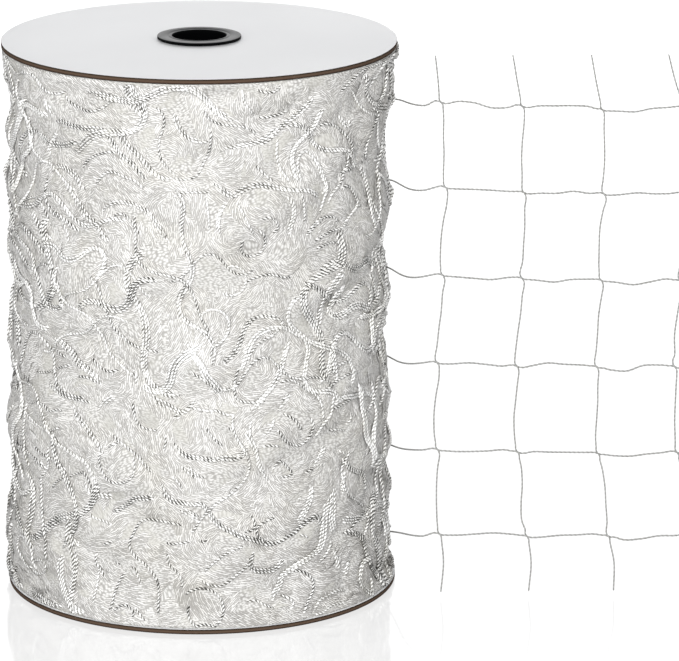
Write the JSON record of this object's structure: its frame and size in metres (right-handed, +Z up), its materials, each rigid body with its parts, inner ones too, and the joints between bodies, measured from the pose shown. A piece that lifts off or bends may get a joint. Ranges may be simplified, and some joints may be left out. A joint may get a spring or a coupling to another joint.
{
  "type": "roll of trellis netting",
  "caption": "Upright spool of white twine trellis netting between round boards on a plastic hub, its free end standing spread at the side.",
  "frame": {"origin": "bottom centre of the whole part's box, on the surface it stands on; the spool's axis is the vertical line x = -0.073375, y = 0", "axes": "+X from the spool towards the spread end of the net, +Y towards the back, +Z up along the spool's axis"},
  "size_m": [0.3372, 0.1906, 0.2717],
  "materials": {
    "board": "pressed fibre board with smooth white paper faces and a bare brown layered edge",
    "hub_plastic": "moulded black, glossy",
    "netting": "white twisted twine with a soft gloss, slightly see-through"
  },
  "bodies": {
    "root": {"flange_top": "board", "flange_bottom": "board", "hub": "hub_plastic", "net_roll": "netting", "loose_end": "netting"}
  },
  "joints": []
}
